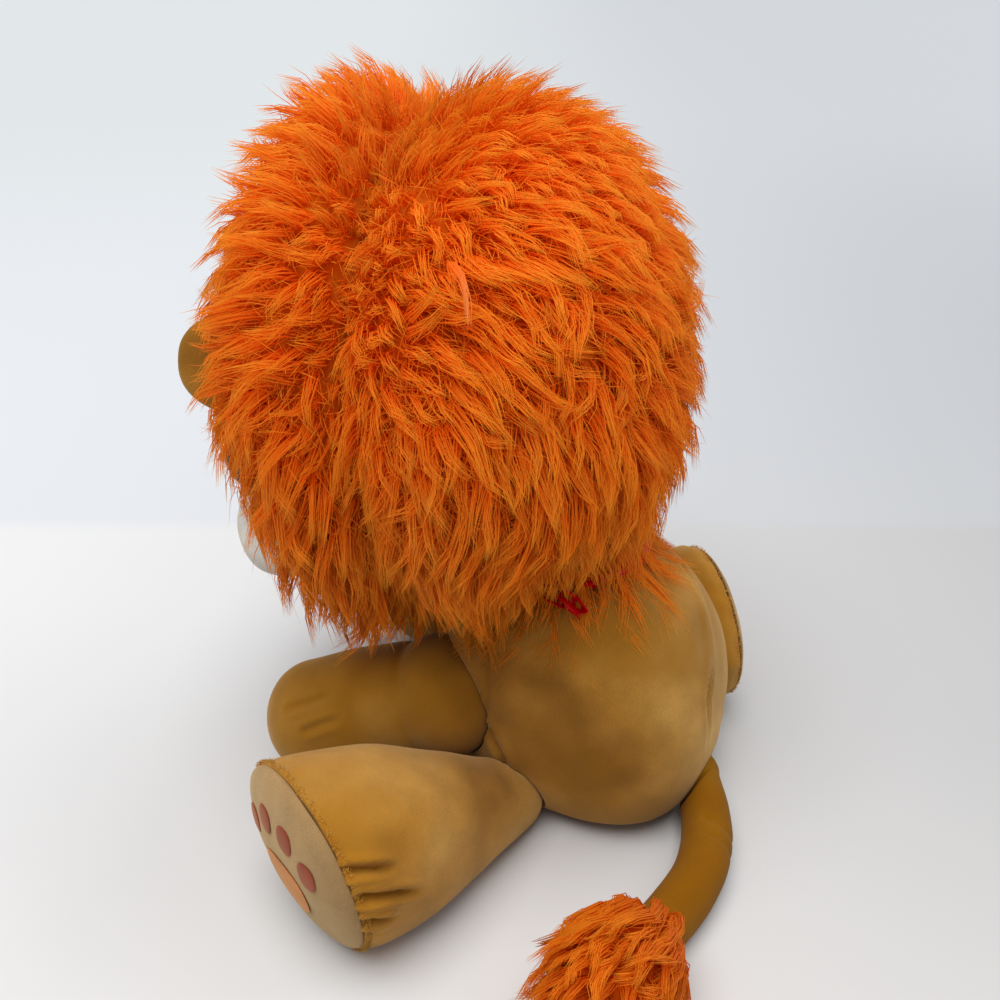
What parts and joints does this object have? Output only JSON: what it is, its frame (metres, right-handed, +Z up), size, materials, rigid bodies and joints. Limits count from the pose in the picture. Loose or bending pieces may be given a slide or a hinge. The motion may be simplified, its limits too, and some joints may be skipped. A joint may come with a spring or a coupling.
{
  "type": "plush lion",
  "caption": "Sitting stuffed lion with a long orange mane, short golden pile, low hanging head, stretched legs with velour soles, a tufted tail and a neck ribbon.",
  "frame": {"origin": "on the flat underside of the body, in the lion's middle plane and 10 mm behind the neck's axis", "axes": "+Z up, -Y the way the lion looks, +X the lion's left side"},
  "size_m": [0.2356, 0.2288, 0.2615],
  "materials": {
    "gold_plush": "short velvety pile, sheen along the nap",
    "orange_fur": "long shaggy pile",
    "cream_plush": "short velvety pile",
    "taupe_velour": "brushed velour with printed pads",
    "black_plastic": "polished",
    "brown_thread": "satin stitch",
    "red_satin": "satin ribbon",
    "white_plastic": "moulded",
    "bag_cloth": "plain weave"
  },
  "bodies": {
    "torso": {"body": "gold_plush", "pellet_bag": "bag_cloth", "neck_ribbon": "red_satin", "ribbon_bow": "red_satin"},
    "neck": {"neck": "gold_plush"},
    "head": {"head": "gold_plush", "muzzle": "cream_plush", "nose": "brown_thread", "eye_left": "black_plastic", "eye_right": "black_plastic", "eye_washer_left": "white_plastic", "eye_washer_right": "white_plastic", "ear_left": "gold_plush", "ear_right": "gold_plush", "mane_ruff": "orange_fur", "mane_cap": "orange_fur"},
    "front_leg_left": {"front_leg_left": "gold_plush"},
    "front_leg_right": {"front_leg_right": "gold_plush"},
    "hind_leg_left": {"hind_leg_left": "gold_plush", "sole_left": "taupe_velour"},
    "hind_leg_right": {"hind_leg_right": "gold_plush", "sole_right": "taupe_velour"},
    "tail": {"tail": "gold_plush", "tail_tuft": "orange_fur"}
  },
  "joints": [
    {"name": "neck_turn", "type": "hinge", "parent": "torso", "child": "neck", "pos_m": [0, -0.01, 0.106], "axis": [0, 0, 1], "range_deg": [-15, 15], "stiffness_Nm_per_rad": 0.25},
    {"name": "neck_nod", "type": "hinge", "parent": "neck", "child": "head", "pos_m": [0, -0.01, 0.106], "axis": [1, 0, 0], "range_deg": [-8, 2.5], "stiffness_Nm_per_rad": 2},
    {"name": "front_leg_left_swing", "type": "hinge", "parent": "torso", "child": "front_leg_left", "pos_m": [0.0365, -0.042, 0.042], "axis": [0, 0, 1], "range_deg": [-10, 12], "stiffness_Nm_per_rad": 0.08},
    {"name": "front_leg_right_swing", "type": "hinge", "parent": "torso", "child": "front_leg_right", "pos_m": [-0.0365, -0.042, 0.042], "axis": [0, 0, 1], "range_deg": [-12, 10], "stiffness_Nm_per_rad": 0.08},
    {"name": "hind_leg_left_swing", "type": "hinge", "parent": "torso", "child": "hind_leg_left", "pos_m": [0.048, -0.01, 0.01204], "axis": [0, 0, 1], "range_deg": [-2, 15], "stiffness_Nm_per_rad": 0.08},
    {"name": "hind_leg_right_swing", "type": "hinge", "parent": "torso", "child": "hind_leg_right", "pos_m": [-0.044, 0.004, 0.02963], "axis": [0, 0, 1], "range_deg": [0, 15], "stiffness_Nm_per_rad": 0.08},
    {"name": "tail_swing", "type": "hinge", "parent": "torso", "child": "tail", "pos_m": [0.006, 0.05, 0.0125], "axis": [0, 0, 1], "range_deg": [0, 20], "stiffness_Nm_per_rad": 0.02}
  ]
}
